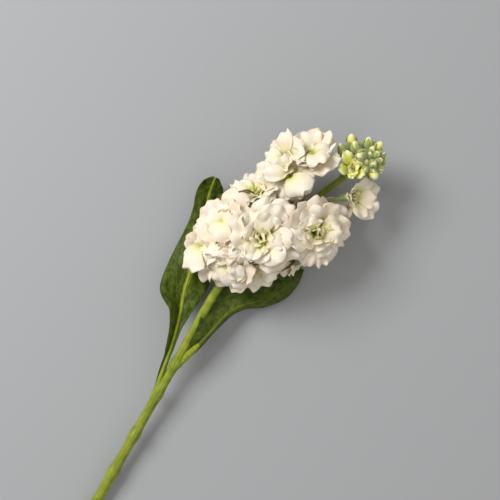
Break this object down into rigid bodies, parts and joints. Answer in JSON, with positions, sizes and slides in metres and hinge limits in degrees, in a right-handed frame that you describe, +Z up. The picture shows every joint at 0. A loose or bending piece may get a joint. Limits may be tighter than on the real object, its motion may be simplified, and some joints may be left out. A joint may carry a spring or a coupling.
{
  "type": "stock flower stem",
  "caption": "Cut stem of double white stock lying on its side, with ruffled florets around the upper stem, a knot of buds at the tip and clasping leaves below the flower head.",
  "frame": {"origin": "on the table, under the middle of the box around the whole stem", "axes": "+X from the cut end towards the tip, +Y to the left of the stem seen from above, +Z up from the table"},
  "size_m": [0.3036, 0.0776, 0.046],
  "materials": {
    "stem": "satin",
    "leaf": "satin",
    "calyx": "matte",
    "bud": "matte",
    "petal": "matte",
    "heart": "matte"
  },
  "bodies": {
    "root": {"stem": "stem", "leaf_left": "leaf", "leaf_right": "leaf", "floret_01_calyx": "calyx", "floret_02_calyx": "calyx", "floret_03_calyx": "calyx", "floret_04_calyx": "calyx", "floret_05_calyx": "calyx", "floret_06_calyx": "calyx", "floret_07_calyx": "calyx", "floret_08_calyx": "calyx", "floret_09_calyx": "calyx", "floret_10_calyx": "calyx", "floret_11_calyx": "calyx", "floret_12_calyx": "calyx", "floret_13_calyx": "calyx", "floret_14_calyx": "calyx", "floret_15_calyx": "calyx", "opening_bud": "bud", "bud_01": "bud", "bud_02": "bud", "bud_03": "bud", "bud_04": "bud", "bud_05": "bud", "bud_06": "bud", "bud_07": "bud", "bud_08": "bud", "apex_buds": "bud", "floret_01_inner_petals": "heart", "floret_02_inner_petals": "heart", "floret_03_inner_petals": "heart", "floret_04_inner_petals": "heart", "floret_05_inner_petals": "heart", "floret_06_inner_petals": "heart", "floret_07_inner_petals": "heart", "floret_08_inner_petals": "heart", "floret_09_inner_petals": "heart", "floret_10_inner_petals": "heart", "floret_11_inner_petals": "heart", "floret_12_inner_petals": "heart", "floret_13_inner_petals": "heart", "floret_14_inner_petals": "heart", "floret_15_inner_petals": "heart", "floret_01_outer_petals": "petal", "floret_02_outer_petals": "petal", "floret_03_outer_petals": "petal", "floret_04_outer_petals": "petal", "floret_05_outer_petals": "petal", "floret_06_outer_petals": "petal", "floret_07_outer_petals": "petal", "floret_08_outer_petals": "petal", "floret_09_outer_petals": "petal", "floret_10_outer_petals": "petal", "floret_11_outer_petals": "petal", "floret_12_outer_petals": "petal", "floret_13_outer_petals": "petal", "floret_14_outer_petals": "petal", "floret_15_outer_petals": "petal"}
  },
  "joints": []
}
